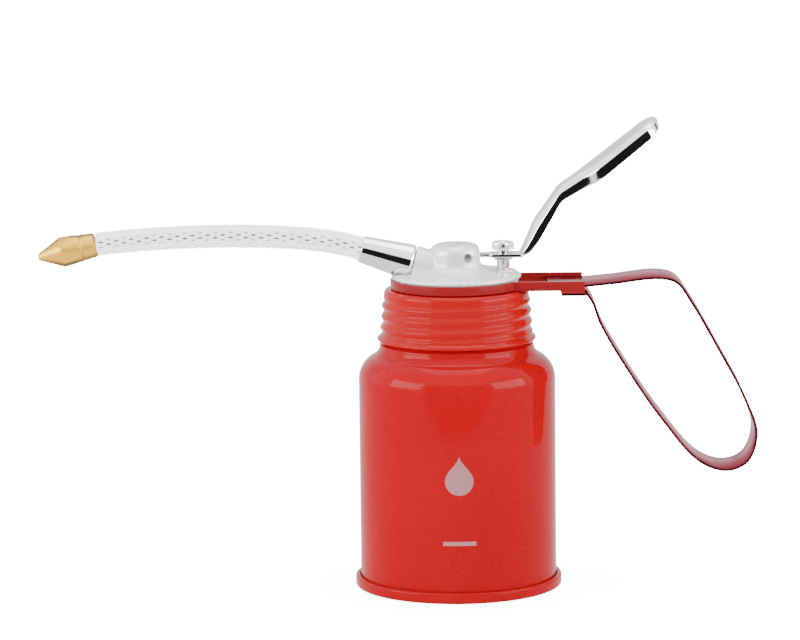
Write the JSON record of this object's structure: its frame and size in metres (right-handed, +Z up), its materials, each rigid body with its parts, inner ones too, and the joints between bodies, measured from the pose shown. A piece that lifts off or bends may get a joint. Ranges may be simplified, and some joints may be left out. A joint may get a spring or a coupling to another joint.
{
  "type": "thumb pump oil can",
  "caption": "Round red steel oil can with a screw cap carrying a thumb-lever pump, a strap handle and a flexible hose spout with a brass nozzle.",
  "frame": {"origin": "centre of the bottom panel's underside, on the can's axis; the rolled seam it stands on is 2.6 mm lower", "axes": "+Z up along the can's axis, -X towards the spout, +X towards the handle and lever, +Y across"},
  "size_m": [0.2435, 0.071, 0.1604],
  "materials": {
    "red_paint": "gloss enamel over steel sheet",
    "chrome": "bright plating",
    "cast_metal": "satin plated casting",
    "steel": "bright steel",
    "brass": "turned brass",
    "hose": "clear PVC with white braid",
    "clear_tube": "clear plastic tube",
    "rubber": "matte black rubber"
  },
  "bodies": {
    "can": {"can_body": "red_paint", "can_bottom": "red_paint"},
    "gasket": {"cap_gasket": "rubber"},
    "head": {"screw_cap": "red_paint", "handle_bracket": "red_paint", "handle_strap": "red_paint", "pump_head": "cast_metal", "lever_pin": "steel", "pump_barrel": "steel", "barrel_nut": "steel", "gland_seal": "rubber", "valve_cage": "brass", "valve_seat": "brass", "dip_tube": "clear_tube", "spout_nipple": "brass", "spout_ferrule": "chrome", "hose_root": "hose"},
    "lever": {"lever": "chrome"},
    "plunger": {"plunger_rod": "chrome", "lever_nut": "chrome", "piston": "brass", "piston_cup": "rubber", "return_spring": "steel"},
    "inlet_ball": {"inlet_ball": "steel"},
    "piston_ball": {"piston_ball": "steel"},
    "spout_1": {"hose_section_1": "hose"},
    "spout_2": {"hose_section_2": "hose"},
    "spout_3": {"hose_section_3": "hose"},
    "spout_4": {"hose_section_4": "hose", "spout_nozzle": "brass"}
  },
  "joints": [
    {"name": "head_lift", "type": "slide", "parent": "can", "child": "gasket", "axis": [0, 0, 1], "range_m": [0, 0.01296]},
    {"name": "head_turn", "type": "hinge", "parent": "gasket", "child": "head", "pos_m": [0, 0, 0.0914], "axis": [0, 0, 1], "range_deg": [0, 1260]},
    {"name": "lever_press", "type": "hinge", "parent": "head", "child": "lever", "pos_m": [0.004, 0, 0.11095], "axis": [0, 1, 0], "range_deg": [0, 14]},
    {"name": "plunger_slide", "type": "slide", "parent": "head", "child": "plunger", "axis": [0, 0, -1], "range_m": [0, 0.0031], "stiffness_N_per_m": 250, "springref_m": -0.004, "deforming": ["return_spring"]},
    {"name": "inlet_ball_lift", "type": "slide", "parent": "head", "child": "inlet_ball", "axis": [0, 0, 1], "range_m": [0, 0.0009]},
    {"name": "piston_ball_lift", "type": "slide", "parent": "plunger", "child": "piston_ball", "axis": [0, 0, 1], "range_m": [0, 0.0015]},
    {"name": "spout_bend_1", "type": "hinge", "parent": "head", "child": "spout_1", "pos_m": [-0.0404, 0, 0.1156], "axis": [0, 1, 0], "range_deg": [-15, 15], "stiffness_Nm_per_rad": 0.1},
    {"name": "spout_bend_2", "type": "hinge", "parent": "spout_1", "child": "spout_2", "pos_m": [-0.06326, 0, 0.11794], "axis": [0, 1, 0], "range_deg": [-15, 15], "stiffness_Nm_per_rad": 0.1},
    {"name": "spout_bend_3", "type": "hinge", "parent": "spout_2", "child": "spout_3", "pos_m": [-0.08625, 0, 0.11819], "axis": [0, 1, 0], "range_deg": [-15, 15], "stiffness_Nm_per_rad": 0.1},
    {"name": "spout_bend_4", "type": "hinge", "parent": "spout_3", "child": "spout_4", "pos_m": [-0.10923, 0, 0.11715], "axis": [0, 1, 0], "range_deg": [-15, 15], "stiffness_Nm_per_rad": 0.1}
  ],
  "couplings": [
    {"joint": "head_lift", "follows": "head_turn", "m_per_rad": 0.00058887},
    {"joint": "plunger_slide", "follows": "lever_press", "m_per_rad": 0.0125},
    {"joint": "spout_bend_2", "follows": "spout_bend_1", "ratio": 1},
    {"joint": "spout_bend_3", "follows": "spout_bend_1", "ratio": 1},
    {"joint": "spout_bend_4", "follows": "spout_bend_1", "ratio": 1}
  ]
}
